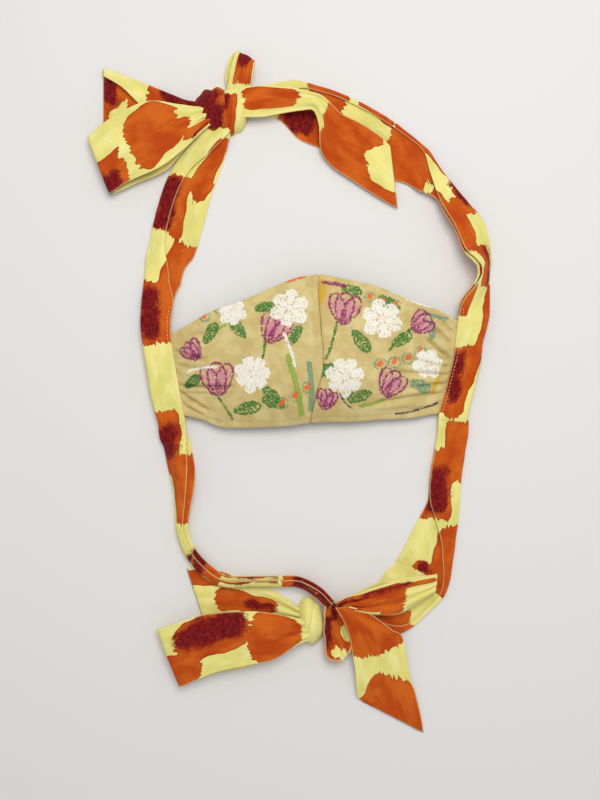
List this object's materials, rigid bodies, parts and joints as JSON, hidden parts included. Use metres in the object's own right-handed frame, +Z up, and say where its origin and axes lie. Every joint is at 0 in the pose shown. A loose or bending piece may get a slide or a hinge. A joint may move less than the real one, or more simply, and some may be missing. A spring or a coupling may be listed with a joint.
{
  "type": "cloth face mask with tie strips",
  "caption": "Fabric face mask with a centre seam and two long printed tie strips knotted in a bow above and below it.",
  "frame": {"origin": "centre of the laid-out object in plan, on the surface that it lies on", "axes": "+Y from the lower bow to the upper bow, +X to the right as seen from above, +Z up from the surface"},
  "size_m": [0.3126, 0.5304, 0.0305],
  "materials": {
    "mask_print": "matt printed cotton",
    "strip_print": "matt printed cotton, orange and crimson blotches on yellow"
  },
  "bodies": {
    "root": {"mask_panel_left": "mask_print", "mask_panel_right": "mask_print", "strip_left": "strip_print", "strip_right": "strip_print", "upper_knot": "strip_print", "upper_loop_front": "strip_print", "upper_loop_back": "strip_print", "upper_tail_short": "strip_print", "upper_tail_long": "strip_print", "lower_knot": "strip_print", "lower_loop_front": "strip_print", "lower_tail_back": "strip_print", "lower_loop_side": "strip_print", "lower_tail_front": "strip_print"}
  },
  "joints": []
}
